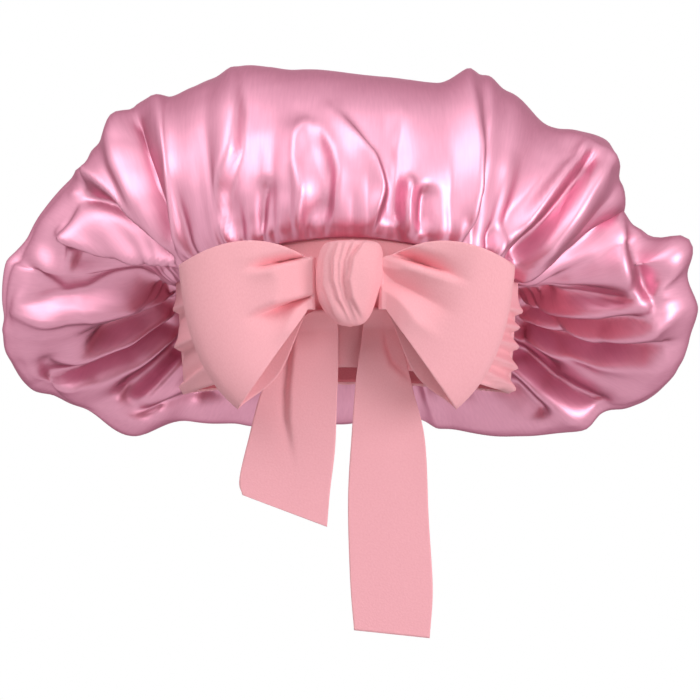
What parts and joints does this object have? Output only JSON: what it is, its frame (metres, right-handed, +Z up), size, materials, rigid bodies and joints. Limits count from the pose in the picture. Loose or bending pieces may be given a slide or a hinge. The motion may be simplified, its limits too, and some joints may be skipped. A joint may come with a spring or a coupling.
{
  "type": "satin hair bonnet",
  "caption": "Puffy gathered satin hair bonnet on a soft head band, ruched with elastic at the nape and tied in a bow with hanging tails at the front.",
  "frame": {"origin": "middle of the head opening, on the level of the band's lower edge at the sides of the head", "axes": "+Z up out of the opening towards the crown, -Y to the front where the bow is, +X to the right of someone facing the bow"},
  "size_m": [0.3657, 0.3148, 0.292],
  "materials": {
    "satin": "glossy mauve pink satin",
    "lining_satin": "soft satin lining",
    "crepe": "matt coral pink crepe",
    "elastic": "woven elastic",
    "seam_tape": "folded binding tape",
    "sewing_thread": "polyester sewing thread"
  },
  "bodies": {
    "bonnet": {"crown_outer": "satin", "crown_lining": "lining_satin", "crown_seam_binding": "seam_tape", "crown_gathering_thread": "sewing_thread", "front_band_outer": "crepe", "front_band_facing": "crepe", "back_casing_outer": "crepe", "back_casing_facing": "crepe", "band_elastic": "elastic", "elastic_tack_left": "sewing_thread", "elastic_tack_right": "sewing_thread", "tie_crossing": "crepe", "bow_knot": "crepe"},
    "left_loop": {"bow_left_loop": "crepe"},
    "right_loop": {"bow_right_loop": "crepe"},
    "left_tail": {"bow_left_tail": "crepe"},
    "right_tail": {"bow_right_tail": "crepe"}
  },
  "joints": [
    {"name": "left_loop_swing", "type": "hinge", "parent": "bonnet", "child": "left_loop", "pos_m": [-0.0198, -0.1207, 0.04615], "axis": [0, 0, 1], "range_deg": [0, 50]},
    {"name": "right_loop_swing", "type": "hinge", "parent": "bonnet", "child": "right_loop", "pos_m": [0.0198, -0.1207, 0.04615], "axis": [0, 0, -1], "range_deg": [0, 50]},
    {"name": "left_tail_swing", "type": "hinge", "parent": "bonnet", "child": "left_tail", "pos_m": [-0.0095, -0.1016, 0.02226], "axis": [0, 1, 0], "range_deg": [0, 35]},
    {"name": "right_tail_swing", "type": "hinge", "parent": "bonnet", "child": "right_tail", "pos_m": [0.013, -0.1016, 0.02344], "axis": [0, -1, 0], "range_deg": [0, 35]}
  ]
}
